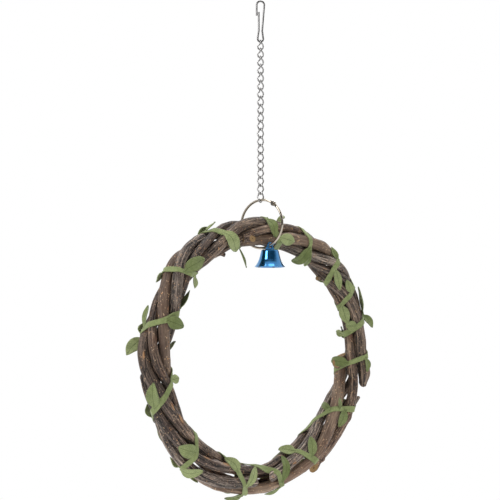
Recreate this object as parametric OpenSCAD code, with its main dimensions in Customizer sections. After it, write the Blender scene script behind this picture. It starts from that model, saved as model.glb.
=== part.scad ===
// Bird swing: a ring of twisted vine canes, bound with a felt leaf garland,
// hung from a loose-leaf ring, a curb chain and a spring-wire hook, with a small bell.
// The origin is where the hook's top bend bears on what it hangs from. +Z is up,
// the cane ring lies in the XZ plane and faces -Y.

/* [Hook] */
// Thickness of the hook's spring wire
hook_wire = 1.6; // [1.2:0.1:2]
// Height of the hook over its two bends, outside
hook_h = 37; // [30:1:50]
// Width of the hook across its top bend, outside
hook_w = 8.2; // [7.4:0.1:10]
// Width of the hook across its bottom bend, outside
hook_foot_w = 6.4; // [5.6:0.1:7.2]
// How far the two legs close in at the waist, from the foot's width, each side
hook_waist = 0.9; // [0.3:0.1:1.2]
// Length of the short leg that the gate closes against
hook_curl_l = 9.2; // [7:0.2:11]

/* [Chain] */
// Number of links
link_count = 20; // [6:1:30]
// Thickness of the link wire
link_wire = 1.35; // [1:0.05:1.5]
// Length of a link, outside
link_l = 9.82; // [9:0.1:12]
// Width of a link, outside
link_w = 6.4; // [6:0.1:7.4]
// Twist of a link from its top bend to its bottom bend
link_twist = 90; // [80:1:100]

/* [Loose-leaf ring] */
// Outside diameter of the ring
ring_d = 44.2; // [42:0.2:52]
// Thickness of the ring's wire
ring_wire = 2.2; // [1.8:0.1:2.6]
// Width of the hinge eye
eye_d = 4.2; // [3.8:0.1:5]
// Diameter of the hinge pin
hinge_pin_d = 1.2; // [0.9:0.1:1.5]
// Diameter of the pin's heads
hinge_head_d = 2.4; // [2:0.1:3.2]

/* [Bell] */
// Diameter of the bell across its rim
bell_rim_d = 27.2; // [24:0.2:30]
// Diameter of the bell across its shoulder
bell_top_d = 15.4; // [14.6:0.2:17]
// Height of the bell's shell
bell_h = 15; // [12:0.5:20]
// Thickness of the bell's wall
bell_wall = 0.8; // [0.6:0.1:1.2]
// Thickness of the wire of the bell's hanger
hanger_wire = 1.1; // [0.9:0.1:1.2]
// Width of the hanger where it stands on the bell
hanger_w = 10.6; // [9.4:0.2:12]
// Diameter of the clapper's ball
clapper_d = 4.8; // [3.6:0.2:6]
// Length of the clapper from its eye to the foot of its ball
clapper_l = 11.4; // [9:0.2:12]

/* [Cane ring] */
// Diameter of the ring of canes along the middle of the bundle
wreath_d = 216; // [200:2:240]
// Mean thickness of a cane
cane_d = 10; // [9:0.1:10.4]
// Gap between neighbouring canes
cane_gap = 0.3; // [0.2:0.05:0.6]
// How far the ring of canes waves out of its plane
wreath_wave = 1.5; // [0:0.1:3]

/* [Leaf garland] */
// Width of the felt ribbon
ribbon_w = 4.4; // [2.4:0.1:5]
// Thickness of the felt
felt = 1.1; // [0.8:0.1:1.4]
// Length of a leaf
leaf_l = 16; // [11:0.5:19]
// Width of a leaf
leaf_w = 9; // [6:0.5:12]

/* [Hidden] */
$fn = 32;
// Overrun of cuts past the faces that they cut
over = 0.5;
// Running gap between pieces that turn on each other
run_gap = 0.12;

// Hook: places are in the hook's own upright plane
hook_turn = -36;
hook_r = hook_wire / 2;
hook_top_r = (hook_w - hook_wire) / 2;
hook_foot_r = (hook_foot_w - hook_wire) / 2;
hook_top_z = hook_r - hook_top_r;
hook_low_z = hook_wire - hook_h + hook_r;
hook_foot_z = hook_low_z + hook_foot_r;
waist_share = 0.24;
waist_z = hook_foot_z + waist_share * (hook_top_z - hook_foot_z);
waist_u = hook_foot_r - hook_waist;
curl_tip_z = hook_top_z - hook_curl_l;
gate_slack = 0.2;
// The gate's tip reaches this share of the short leg, behind it
gate_lap_share = 0.32;
gate_tip = [-hook_top_r + hook_wire + gate_slack, 0, curl_tip_z + gate_lap_share * hook_curl_l];
gate_foot = [-hook_foot_r, 0, hook_foot_z + gate_slack];
gate_stub = 1.2;
// The wire is a touch thicker where it is bent sharply
knuckle_share = 1.04;

// Chain
link_half_l = (link_l - link_wire) / 2;
link_half_w = (link_w - link_wire) / 2;
link_pitch = 2 * link_half_l - link_wire - run_gap;
link_rings = 24;
link_sides = 6;
// How square the oval's long sides are, and the share of its length that takes the twist
link_side_share = 1.6;
link_twist_share = 0.6;
// Turn of the ring about the upright, and of the first link
ring_turn = -69;
link_turn = hook_turn - link_twist / 2;
link_step = (ring_turn + 90 - hook_turn) / (link_count - 1);
first_link_z = hook_low_z + hook_r + link_wire / 2 + run_gap - link_half_l;
last_link_low_z = first_link_z - (link_count - 1) * link_pitch - link_half_l;

// Loose-leaf ring: it hangs from the last link near its top
ring_r = (ring_d - ring_wire) / 2;
hang_turn = 93;
hinge_turn = 55;
ring_top_z = last_link_low_z + link_wire / 2 + ring_wire / 2 + run_gap;
ring_z = ring_top_z - ring_r * sin(hang_turn);
ring_shift = -ring_r * cos(hang_turn);
ring_x = ring_shift * cos(ring_turn);
ring_y = ring_shift * sin(ring_turn);
tongue_share = 0.36;
cheek_share = 0.25;
tongue_t = ring_wire * tongue_share;
cheek_t = ring_wire * cheek_share;
cheek_y = tongue_t / 2 + run_gap;
fork_half = cheek_y + cheek_t;
head_h = 0.4;
// Angle of the ring that half the hinge eye takes up
eye_turn = asin((eye_d / 2 + run_gap * 2) / ring_r);
snap_gap = 0.14;
snap_turn = asin(snap_gap / ring_r);
snap_share = 0.4;
snap_d = ring_wire * snap_share;
snap_l = ring_wire * snap_share;

// Bell: it hangs from the ring's wire beside the canes
bell_turn = -66;
bell_s = ring_r * cos(bell_turn);
bell_x = ring_x + bell_s * cos(ring_turn);
bell_y = ring_y + bell_s * sin(ring_turn);
bell_hang_z = ring_z + ring_r * sin(bell_turn);
hanger_turn = 3;
hanger_play = 0.55;
hanger_bore_r = ring_wire / 2 + hanger_play;
hanger_r = hanger_bore_r + hanger_wire / 2;
hanger_rise = 0.4;
bell_drop = 3.5;
bell_top_z = bell_hang_z - bell_drop;
// The bell's outline: share of its height, share of the way from shoulder to rim radius
bell_line_shares = [
    [0, -0.20], [0.03, -0.07], [0.09, 0.0], [0.22, 0.08], [0.40, 0.19],
    [0.58, 0.33], [0.72, 0.49], [0.85, 0.70], [0.95, 0.90], [1, 1]
];
staple_wire = 0.9;
staple_r = 1.7;
clapper_wire = 0.8;
clapper_eye_r = 1.5;
staple_z = bell_top_z - bell_wall;
clapper_pivot_z = staple_z - staple_r;
clapper_top_z = clapper_pivot_z + staple_wire / 2 + clapper_wire / 2 + run_gap;
clapper_eye_z = clapper_top_z - clapper_eye_r;

// Canes: five run round the ring side by side and turn about each other
cane_names = ["cane_brown", "cane_thin", "cane_forked", "cane_dark", "cane_grey"];
// Angle where each cane's butt lies and how far round it runs
cane_spans = [[40, 319], [303, 352], [346, 352], [186, 352], [272, 350]];
// Thickness at the butt, in the middle and at the tip
cane_girth_shares = [[1.07, 0.92, 0.94], [1.06, 0.72, 1.01], [1.08, 1.03, 1.2],
    [0.91, 0.74, 0.74], [1.01, 0.91, 1.02]];
// How far each cane's butt and tip spring out of the bundle, and how soon they lie in it
cane_flare_shares = [[0, 0.01], [0.07, 0], [0.44, 0], [0, 0], [0, 0]];
flare_turn = 16;
// Room that is left where a cane has ended, and how soon its neighbours close in
cane_end_share = 0.3;
close_in_turn = 22;
cane_sides = 10;
cane_step = 6;
// Search for the circle that the cane centres stand on: its bounds and its halvings
nest_shares = [0.55, 1.6];
nest_tries = 12;
// Turns of the canes about each other in one round, and how far they lag every 30 degrees
lay_turns = 3;
lay_lags = [-38.5, -82.3, -19.7, -20.2, -1.8, 28.5, 63.9, 82.0, 69.4, 42.9, -1.7, -30.7];
lay_start = 103.9;
// How much looser the bundle is, every 30 degrees
loose_shares = [0.085, 0.003, 0.128, 0.014, 0.055, 0, 0.131, 0.002, 0.303, 0.003, 0.316, 0.248];
// Radius of the ring of canes, every 15 degrees
rim_shares = [0.987, 1.021, 1.024, 1.02, 1.015, 1.011, 1.005, 1.014, 1.008, 1.036, 1.003, 0.996, 1.011, 0.98, 0.974, 0.994, 0.998, 0.991, 0.984, 0.942, 0.926, 0.914, 0.94, 0.977];
// Waves out of the ring's plane: two and three in one round
wave_shares = [0.72, -0.27, -0.73, 0.64];
seat_gap = 0.3;
wreath_r = wreath_d / 2;
hang_at = 90;
// The canes' middle stands here, so that their weight hangs under the chain
wreath_x = 2.0;
wreath_y = ring_y + 1.7;
wreath_z = ring_z - ring_r + ring_wire / 2 + seat_gap + bundle_r(hang_at) - wreath_r * rim(hang_at);

// Garland: places that the ribbon passes, as turn about the canes (270 is the front,
// and each round adds 360) and angle on the ring
ribbon_places = [
    [60, -14.2], [155, -10.7], [207, -5.6], [320, 0.3], [500, 8.9],
    [585, 12.9], [636, 15.6], [916, 27.2], [954, 30.0], [997, 31.2],
    [1230, 40.2], [1347, 47.3], [1400, 47.8], [1605, 57.9], [1704, 65.6],
    [1765, 69.5], [2054, 84.4], [2084, 87.3], [2139, 88.3], [2345, 104.8],
    [2463, 114.3], [2530, 118.6], [2725, 136.6], [2820, 141.7], [2900, 144.0],
    [3099, 156.8], [3162, 163.2], [3265, 168.3], [3455, 187.8], [3479, 191.1],
    [3587, 200.5], [3815, 219.0], [3863, 225.8], [3959, 227.9], [4184, 248.8],
    [4232, 254.0], [4312, 260.0], [4509, 260.5], [4555, 272.4], [4635, 277.0],
    [4898, 289.6], [4945, 294.4], [4985, 297.5], [5192, 304.9], [5253, 324.1],
    [5350, 332.8], [5490, 338.3]
];
ribbon_ease = 12;
ribbon_step = 24;
ribbon_off = 0.75;
// Leaves: the ribbon's turn at the root; angle, turn and lift of the tip, the lift as a
// share of leaf_l; share of leaf_w; and turn about the midrib. Those below 0 lie at the back.
leaf_places = [
    [2145, 86.6, 247, 0.05, 0.91, 0], [2465, 110.0, 205, 0.23, 1.16, 0], [2532, 112.2, 10, 0.24, 0.78, 76],
    [2342, 101.4, 180, 1.11, 0.78, 84], [2802, 129.3, 247, 0.05, 1.21, 0], [2725, 142.3, 205, 0.38, 0.78, 68],
    [2905, 149.0, 25, 0.19, 0.78, 72], [3075, 144.8, 205, 0.16, 0.78, 58], [3162, 163.5, 215, 0.37, 1.16, 0],
    [3260, 158.7, 20, 0.14, 0.72, 24], [3300, 175.7, 30, 0.59, 1.16, 4], [3385, 171.0, 206, 0.19, 0.78, 66],
    [2050, 75.1, 248, 0.05, 1.16, 0], [1872, 79.0, 350, 0.25, 0.78, 50], [1698, 65.9, 160, 0.34, 0.97, 0],
    [1685, 57.8, 165, 0.14, 0.54, 20], [1378, 53.5, 325, 0.07, 0.67, 10], [1340, 35.8, 220, 0.05, 0.79, 10],
    [982, 38.0, 273, 0.05, 0.79, 0], [692, 31.0, 320, 0.19, 0.78, 70], [912, 16.0, 199, 0.05, 1.09, 6],
    [520, 12.5, 140, 0.45, 0.78, 36], [605, 15.5, 190, 0.05, 1.09, 0], [690, 11.3, 320, 0.46, 0.91, 4],
    [215, -3.9, 150, 0.4, 1.03, 0], [282, -8.7, 286, 0.19, 0.78, 40], [5258, 327.4, 167, 0.05, 0.72, 20],
    [5302, 318.7, 273, 0.05, 0.91, 0], [5280, 333.1, 225, 0.19, 0.6, 55], [4898, 283.5, 165, 0.18, 0.97, 0],
    [4955, 302.0, 217, 0.05, 0.91, 0], [4620, 281.5, 194, 0.05, 0.72, 0], [4655, 270.2, 345, 0.12, 0.61, 20],
    [4255, 262.6, 214, 0.05, 0.72, 0], [3580, 188.7, 313, 0.05, 1.21, 0], [3468, 189.3, 210, 0.35, 0.84, 6],
    [3868, 218.1, 308, 0.05, 1.33, 0], [3962, 233.7, 298, 0.05, 0.91, 0], [4210, 243.4, 203, 0.05, 0.97, 0],
    [4310, 252.1, 0, 0.28, 0.79, 6], [464, 14.5, 147, 0.11, 1.03, -1], [409, -4.1, 19, 0.23, 1.01, -1],
    [823, 30.5, 97, 0.22, 1.17, -1], [768, 11.7, 87, 0.12, 1.03, -1], [1178, 47.4, 113, 0.11, 1.0, -1],
    [1132, 29.2, 93, 0.15, 0.91, -1], [1533, 62.2, 132, 0.19, 0.92, -1], [1504, 45.7, 80, 0.17, 0.91, -1],
    [1860, 68.5, 56, 0.15, 0.89, -1], [2623, 133.9, 124, 0.1, 1.13, -1], [2573, 113.9, 33, 0.15, 0.94, -1],
    [2985, 156.4, 105, 0.24, 1.13, -1], [2929, 139.5, 77, 0.11, 0.97, -1], [3343, 185.4, 79, 0.11, 1.1, -1],
    [3295, 165.4, 56, 0.11, 1.07, -1], [3693, 217.3, 56, 0.19, 0.96, -1], [3652, 199.3, 64, 0.18, 1.04, -1],
    [4040, 241.4, 41, 0.16, 0.99, -1], [4001, 223.8, 40, 0.17, 1.03, -1], [4424, 267.9, 68, 0.12, 1.07, -1],
    [4367, 251.7, 48, 0.15, 1.08, -1], [4763, 289.4, 64, 0.16, 1.13, -1], [4741, 273.4, 73, 0.09, 0.93, -1],
    [5132, 311.8, 80, 0.18, 1.11, -1], [5088, 292.8, 56, 0.17, 1.04, -1]
];
// A leaf's width along its length
leaf_form_shares = [[0, 0.3], [0.16, 0.36], [0.38, 0.92], [0.6, 1], [0.84, 0.68], [1, 0.14]];
leaf_proud_share = 0.3;
leaf_front = 1.3;
leaf_sink_share = 0.7;
front_way = [-0.595, -0.804, 0];

steel = "silver";
nickel = "lightgray";
bell_blue = "dodgerblue";
felt_green = [0.56, 0.64, 0.42];
cane_colours = [[0.46, 0.36, 0.29], [0.40, 0.34, 0.30], [0.36, 0.31, 0.28], [0.30, 0.25, 0.22], [0.50, 0.44, 0.39]];

function two_digits(i) = str(i < 10 ? "0" : "", i);
function link_name(i) = str("chain_link_", two_digits(i));

// Small vector and curve helpers
function unit(v) = v / norm(v);
function clamp(v, low, high) = min(high, max(low, v));
function ease(t) = (1 - cos(180 * clamp(t, 0, 1))) / 2;
function wrap(a) = a - 360 * floor(a / 360);
// A smooth curve through a list's values, which stand at even steps once round the ring
function around(list, a) =
    let (
        n = len(list),
        at = wrap(a) * n / 360,
        i = floor(at),
        f = at - i,
        p = [for (k = [-1 : 2]) list[(i + k + n) % n]]
    )
        p[1] + (p[2] - p[0]) * f / 2 + (2 * p[0] - 5 * p[1] + 4 * p[2] - p[3]) * f * f / 2
            + (3 * p[1] - p[0] - 3 * p[2] + p[3]) * f * f * f / 2;
function total(list, i = 0) = i < len(list) ? list[i] + total(list, i + 1) : 0;

// Triangles of a tube whose rings are listed one after another
function tube_sides(rings, sides, closed) = [
    for (i = [0 : rings - (closed ? 1 : 2)], j = [0 : sides - 1])
        let (a = i * sides, b = ((i + 1) % rings) * sides, k = (j + 1) % sides)
            each [[a + j, b + j, b + k], [a + j, b + k, a + k]]
];
function tube_caps(rings, sides) = [
    [for (j = [0 : sides - 1]) j],
    [for (j = [sides - 1 : -1 : 0]) (rings - 1) * sides + j]
];

// A straight piece of wire between two places
module rod(from, to, d) {
    run = to - from;
    translate(from)
        rotate([0, acos(run[2] / norm(run)), atan2(run[1], run[0])])
            cylinder(d = d, h = norm(run));
}

// A round bend of wire in the upright plane that faces -Y
module bend(r, d, from, sweep) {
    rotate([90, 0, 0])
        rotate([0, 0, from])
            rotate_extrude(angle = sweep)
                translate([r, 0])
                    circle(d = d);
}

// Hook: one wire, from the short leg over the top, down the long leg and round the foot
module hook_body() {
    color(steel)
        rotate([0, 0, hook_turn]) {
            translate([0, 0, hook_top_z])
                bend(hook_top_r, hook_wire, 0, 180);
            translate([0, 0, hook_foot_z])
                bend(hook_foot_r, hook_wire, 180, 180);
            rod([-hook_top_r, 0, curl_tip_z], [-hook_top_r, 0, hook_top_z], hook_wire);
            rod([waist_u, 0, waist_z], [hook_top_r, 0, hook_top_z], hook_wire);
            rod([hook_foot_r, 0, hook_foot_z], [waist_u, 0, waist_z], hook_wire);
            for (at = [[hook_top_r, hook_top_z], [waist_u, waist_z], [hook_foot_r, hook_foot_z]])
                translate([at[0], 0, at[1]])
                    sphere(d = hook_wire * knuckle_share);
        }
}

// Gate: the sprung leg, which rests behind the short leg's tip
module hook_gate() {
    knee = gate_foot + [0, 0, gate_stub];
    middle = [-waist_u, 0, waist_z];
    color(steel)
        rotate([0, 0, hook_turn]) {
            rod(gate_foot, knee, hook_wire);
            rod(knee, middle, hook_wire);
            rod(middle, gate_tip, hook_wire);
            for (at = [knee, middle])
                translate(at)
                    sphere(d = hook_wire * knuckle_share);
        }
}

// Chain link: an oval of wire whose plane turns from the top bend to the bottom bend
function link_point(t) =
    let (
        side = clamp(link_side_share * sin(t), -1, 1),
        x = link_half_w * cos(t),
        z = (link_half_l - link_half_w) * side + link_half_w * sin(t),
        turn = link_plane(z)
    ) [x * cos(turn), x * sin(turn), z];
function link_plane(z) = -link_twist / 2 * sin(90 * clamp(z / (link_twist_share * link_half_l), -1, 1));

module link_body() {
    step = 360 / link_rings;
    points = [
        for (i = [0 : link_rings - 1])
            let (
                c = link_point(i * step),
                run = unit(link_point((i + 0.2) * step) - link_point((i - 0.2) * step)),
                turn = link_plane(c[2]),
                face = [-sin(turn), cos(turn), 0],
                out = unit(cross(face, run)),
                across = cross(run, out)
            )
                for (j = [0 : link_sides - 1])
                    let (a = 360 * j / link_sides)
                        c + link_wire / 2 * (cos(a) * out + sin(a) * across)
    ];
    polyhedron(points = points, faces = tube_sides(link_rings, link_sides, true));
}

module chain_link(i) {
    color(steel)
        translate([0, 0, first_link_z - (i - 1) * link_pitch])
            rotate([0, 0, link_turn + (i - 1) * link_step])
                link_body();
}

// The loose-leaf ring's own upright plane, with its centre at the origin
module in_ring() {
    translate([ring_x, ring_y, ring_z])
        rotate([0, 0, ring_turn])
            children();
}

// The hinge's own place: the eye's centre at the origin, its bore along Y
module at_hinge() {
    translate([ring_r * cos(hinge_turn), 0, ring_r * sin(hinge_turn)])
        rotate([0, -hinge_turn, 0])
            children();
}

module eye_plate(t, side) {
    // The plate's tail runs along the ring to the end of the wire
    rotate([90, 0, 0])
        cylinder(d = eye_d, h = t, center = true);
    tail = ring_r * sin(eye_turn) + ring_wire / 2;
    translate([-ring_wire / 2, -t / 2, side > 0 ? 0 : -tail])
        cube([ring_wire, t, tail]);
}

module ring_half_upper() {
    start = hinge_turn + eye_turn;
    color(nickel)
        in_ring()
            difference() {
                union() {
                    difference() {
                        bend(ring_r, ring_wire, start, 180 - eye_turn - snap_turn);
                        // Slot that lets the tongue's eye turn
                        at_hinge()
                            translate([-eye_d, -cheek_y, -eye_d])
                                cube([2 * eye_d, 2 * cheek_y, 2 * eye_d]);
                    }
                    for (side = [-1, 1])
                        at_hinge()
                            translate([0, side * (cheek_y + cheek_t / 2), 0])
                                eye_plate(cheek_t, 1);
                }
                at_hinge()
                    rotate([90, 0, 0])
                        cylinder(d = hinge_pin_d, h = 2 * fork_half + 2 * over, center = true);
                // Socket for the snap at the free end
                rotate([0, -hinge_turn - 180, 0])
                    translate([ring_r, 0, -snap_l - 2 * run_gap])
                        cylinder(d = snap_d + 2 * run_gap, h = snap_l + 3 * run_gap);
            }
}

module ring_half_lower() {
    color(nickel)
        in_ring()
            difference() {
                union() {
                    difference() {
                        bend(ring_r, ring_wire, hinge_turn - 180 + snap_turn, 180 - eye_turn - snap_turn);
                        for (side = [-1, 1])
                            at_hinge()
                                translate([-eye_d, side > 0 ? tongue_t / 2 : -tongue_t / 2 - eye_d, -eye_d])
                                    cube([2 * eye_d, eye_d, 2 * eye_d]);
                    }
                    at_hinge()
                        eye_plate(tongue_t, -1);
                    // Snap that enters the upper half's socket
                    rotate([0, -hinge_turn - 180, 0])
                        translate([ring_r, 0, -snap_l])
                            cylinder(d = snap_d, h = snap_l + ring_wire / 2);
                }
                at_hinge()
                    rotate([90, 0, 0])
                        cylinder(d = hinge_pin_d + 2 * run_gap, h = tongue_t + 2 * over, center = true);
            }
}

module ring_hinge_pin() {
    color(steel)
        in_ring()
            at_hinge()
                rotate([90, 0, 0]) {
                    cylinder(d = hinge_pin_d, h = 2 * fork_half, center = true);
                    for (side = [-1, 1])
                        translate([0, 0, side * (fork_half + head_h / 2)])
                            cylinder(d = hinge_head_d, h = head_h, center = true);
                }
}

// Bell
function bell_radius(share) = bell_top_d / 2 + share * (bell_rim_d - bell_top_d) / 2;

module bell_shell() {
    outside = [for (s = bell_line_shares) [bell_radius(s[1]), bell_top_z - s[0] * bell_h]];
    last = len(bell_line_shares) - 1;
    inside = [
        for (i = [last : -1 : 1])
            let (s = bell_line_shares[i])
                [bell_radius(s[1]) - bell_wall, min(bell_top_z - s[0] * bell_h, bell_top_z - bell_wall)]
    ];
    color(bell_blue)
        translate([bell_x, bell_y, 0])
            rotate_extrude($fn = 64)
                polygon(concat([[0, bell_top_z]], outside, inside, [[0, bell_top_z - bell_wall]]));
}

// Hanger: a bow of wire that stands on the crown and goes round the ring's wire
module bell_hanger() {
    foot_x = (hanger_w - hanger_wire) / 2;
    low = hanger_wire * 2;
    slope = (foot_x - hanger_r) / (bell_drop + hanger_rise);
    color(bell_blue)
        translate([bell_x, bell_y, bell_hang_z])
            rotate([0, 0, hanger_turn])
                difference() {
                    union() {
                        translate([0, 0, hanger_rise])
                            bend(hanger_r, hanger_wire, 0, 180);
                        for (side = [-1, 1]) {
                            rod([side * (foot_x + slope * low), 0, -bell_drop - low],
                                [side * hanger_r, 0, hanger_rise], hanger_wire);
                            translate([side * hanger_r, 0, hanger_rise])
                                sphere(d = hanger_wire);
                        }
                    }
                    translate([-hanger_w, -hanger_w / 2, -bell_drop - hanger_w])
                        cube([2 * hanger_w, hanger_w, hanger_w]);
                }
}

// Staple under the crown that the clapper hangs from
module clapper_staple() {
    color(steel)
        translate([bell_x, bell_y, staple_z])
            rotate([0, 0, hanger_turn])
                bend(staple_r, staple_wire, 180, 180);
}

module bell_clapper() {
    low = clapper_eye_z - clapper_eye_r;
    ball_z = clapper_top_z - clapper_l + clapper_d / 2;
    color(steel)
        translate([bell_x, bell_y, 0])
            rotate([0, 0, hanger_turn + 90]) {
                translate([0, 0, clapper_eye_z])
                    bend(clapper_eye_r, clapper_wire, 0, 360);
                rod([0, 0, ball_z], [0, 0, low], clapper_wire);
                translate([0, 0, ball_z])
                    sphere(d = clapper_d);
            }
}

// Canes. Each cane's disc at one angle of the ring touches its two neighbours' discs,
// so their centres stand on a circle that is as wide as all their discs need.
function along(k, a) = wrap(a - cane_spans[k][0]) / cane_spans[k][1];
function girth(k, f) =
    let (s = cane_girth_shares[k])
        cane_d * (s[0] * (1 - f) * (1 - 2 * f) + 4 * s[1] * f * (1 - f) + s[2] * f * (2 * f - 1));
// Room that a cane takes, which shrinks where it has ended
function room(k, a) =
    let (f = along(k, a))
        f <= 1 ? girth(k, f) :
        let (
            past = (f - 1) * cane_spans[k][1],
            rest = 360 - cane_spans[k][1] - past,
            left = 1 - (1 - cane_end_share) * min(ease(past / close_in_turn), ease(rest / close_in_turn)),
            blend = past / (past + rest)
        )
            left * (girth(k, 1) * (1 - blend) + girth(k, 0) * blend);
function spread(a) = 1 + max(around(loose_shares, a), 0);
function reach(k, a) =
    let (n = len(cane_names))
        (room(k, a) + room((k + 1) % n, a)) / 2 * spread(a) + cane_gap;
function half_turn(k, a, r) = asin(clamp(reach(k, a) / (2 * r), 0, 1));
function nest(a, low, high, tries) =
    let (
        r = (low + high) / 2,
        turn = total([for (k = [0 : len(cane_names) - 1]) half_turn(k, a, r)])
    )
        tries == 0 ? r : turn > 180 ? nest(a, r, high, tries - 1) : nest(a, low, r, tries - 1);
function nest_r(a) = nest(a, cane_d * nest_shares[0], cane_d * nest_shares[1], nest_tries);
function slot(k, a, r) = k == 0 ? 0 : slot(k - 1, a, r) + 2 * half_turn(k - 1, a, r);
function lay(a) = lay_turns * a + around(lay_lags, a);
// A cane's loose end stands a little out of the bundle
function flare(k, a) =
    let (run = wrap(a - cane_spans[k][0]), left = cane_spans[k][1] - run)
        left < 0 ? 0 :
        cane_d * (cane_flare_shares[k][0] * ease(1 - run / flare_turn)
            + cane_flare_shares[k][1] * ease(1 - left / flare_turn));
function bundle_r(a) = nest_r(a) + max([for (k = [0 : len(cane_names) - 1]) room(k, a)]) / 2;

function rim(a) = around(rim_shares, a);
function outward(a) = [cos(a), 0, sin(a)];
function bundle_middle(a) = [
    wreath_x + wreath_r * rim(a) * cos(a),
    wreath_y + wreath_wave * [sin(2 * a), cos(2 * a), sin(3 * a), cos(3 * a)] * wave_shares,
    wreath_z + wreath_r * rim(a) * sin(a)
];
function cane_middle(k, a, r) =
    let (turn = lay_start - lay(a) + slot(k, a, r))
        bundle_middle(a) + (r + flare(k, a)) * (cos(turn) * outward(a) + [0, sin(turn), 0]);

module cane(k) {
    rings = ceil(cane_spans[k][1] / cane_step) + 1;
    points = [
        for (i = [0 : rings - 1])
            let (
                f = i / (rings - 1),
                a = cane_spans[k][0] + f * cane_spans[k][1],
                middle = cane_middle(k, a, nest_r(a)),
                half = girth(k, f) / 2
            )
                for (j = [0 : cane_sides - 1])
                    let (t = 360 * j / cane_sides)
                        middle + half * (cos(t) * outward(a) + [0, sin(t), 0])
    ];
    color(cane_colours[k])
        polyhedron(points = points, faces = concat(tube_sides(rings, cane_sides, false), tube_caps(rings, cane_sides)));
}

// Garland. The ribbon winds round the canes from place to place, and each leaf grows out
// of it and lies on the canes or stands off them.
function ribbon_angle(turn) =
    total([for (k = [-2 : 2]) lookup(turn + k * ribbon_ease, ribbon_places)]) / 5;
// Distance from the bundle's middle to a flat laid on the canes in one direction
function cane_cover(a, turn) =
    let (r = nest_r(a))
        max([
            for (k = [0 : len(cane_names) - 1])
                (r + flare(k, a)) * cos(lay_start - lay(a) + slot(k, a, r) - turn) + (along(k, a) <= 1 ? room(k, a) / 2 : 0)
        ]);
function skin_way(a, turn) = cos(turn) * outward(a) + [0, sin(turn), 0];
function skin_point(a, turn, lift) =
    bundle_middle(a) + (cane_cover(a, turn) + felt / 2 + ribbon_off + lift) * skin_way(a, turn);
function ribbon_point(turn) = skin_point(ribbon_angle(turn), turn, 0);
// The ribbon's run, its face and its width at one place
function ribbon_frame(turn) =
    let (
        run = unit(ribbon_point(turn + 3) - ribbon_point(turn - 3)),
        way = skin_way(ribbon_angle(turn), turn),
        out = unit(way - (way * run) * run)
    )
        [run, out, cross(run, out)];

module ribbon() {
    from = ribbon_places[0][0];
    count = round((ribbon_places[len(ribbon_places) - 1][0] - from) / ribbon_step) + 1;
    middles = [for (i = [0 : count - 1]) ribbon_point(from + i * ribbon_step)];
    points = [
        for (i = [0 : count - 1])
            let (frame = ribbon_frame(from + i * ribbon_step))
                for (j = [0 : 5])
                    middles[i] + felt / 2 * (j % 3 == 0 ? 0 : (j == 1 || j == 5 ? 1 : -1)) * frame[1]
                        + ribbon_w / 2 * (j == 0 || j == 3 ? 0 : (j < 3 ? 1 : -1)) * frame[2]
                        + (j == 0 ? 1 : (j == 3 ? -1 : 0)) * felt / 2 * frame[1]
    ];
    // Nearest that one turn of the ribbon comes to the turns after it, face to face
    near = min([
        for (i = [0 : count - 1], j = [i + 7 : count - 1])
            norm(middles[i] - middles[j])
    ]) - norm([ribbon_w, felt]);
    echo(ribbon_gap = near);
    polyhedron(points = points, faces = concat(tube_sides(count, 6, false), tube_caps(count, 6)));
}

module leaf(place) {
    root_a = ribbon_angle(place[0]);
    root_turn = place[0] - 360 * round((place[0] - place[2]) / 360);
    lift = leaf_l * place[3];
    proud = place[3] > leaf_proud_share && place[5] >= 0 ? leaf_front : 0;
    way = skin_way((root_a + place[1]) / 2, (root_turn + place[2]) / 2);
    run = unit(skin_point(place[1], place[2], lift) - skin_point(root_a, root_turn, 0));
    level = unit(cross(way + proud * front_way, run));
    roll = max(place[5], 0);
    side = cos(roll) * level + sin(roll) * cross(run, level);
    out = cross(run, side);
    points = [
        for (row = leaf_form_shares)
            let (
                t = row[0],
                w = leaf_w / 2 * place[4] * row[1],
                at = root_a + (place[1] - root_a) * t,
                turn = root_turn + (place[2] - root_turn) * t,
                c = skin_point(at, turn, (lift + felt / 3) * t + w * abs(side * skin_way(at, turn)) * (t > 0 ? 1 : leaf_sink_share))
            )
                for (corner = [[1, 1], [-1, 1], [-1, -1], [1, -1]])
                    c + corner[0] * w * side + corner[1] * felt / 2 * out
    ];
    polyhedron(points = points, faces = concat(tube_sides(len(leaf_form_shares), 4, false), tube_caps(len(leaf_form_shares), 4)));
}

module leaf_garland() {
    color(felt_green) {
        ribbon();
        for (place = leaf_places)
            leaf(place);
    }
}

hook_body();
hook_gate();
for (i = [1 : link_count]) chain_link(i);
ring_half_upper();
ring_half_lower();
ring_hinge_pin();
bell_shell();
bell_hanger();
clapper_staple();
bell_clapper();
for (k = [0 : len(cane_names) - 1]) cane(k);
leaf_garland();
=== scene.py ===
"""Bird swing: a ring of twisted vine canes bound with a felt leaf garland, hung by
a loose-leaf ring, a curb chain and a spring-wire hook, with a small blue bell."""
import math

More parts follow.
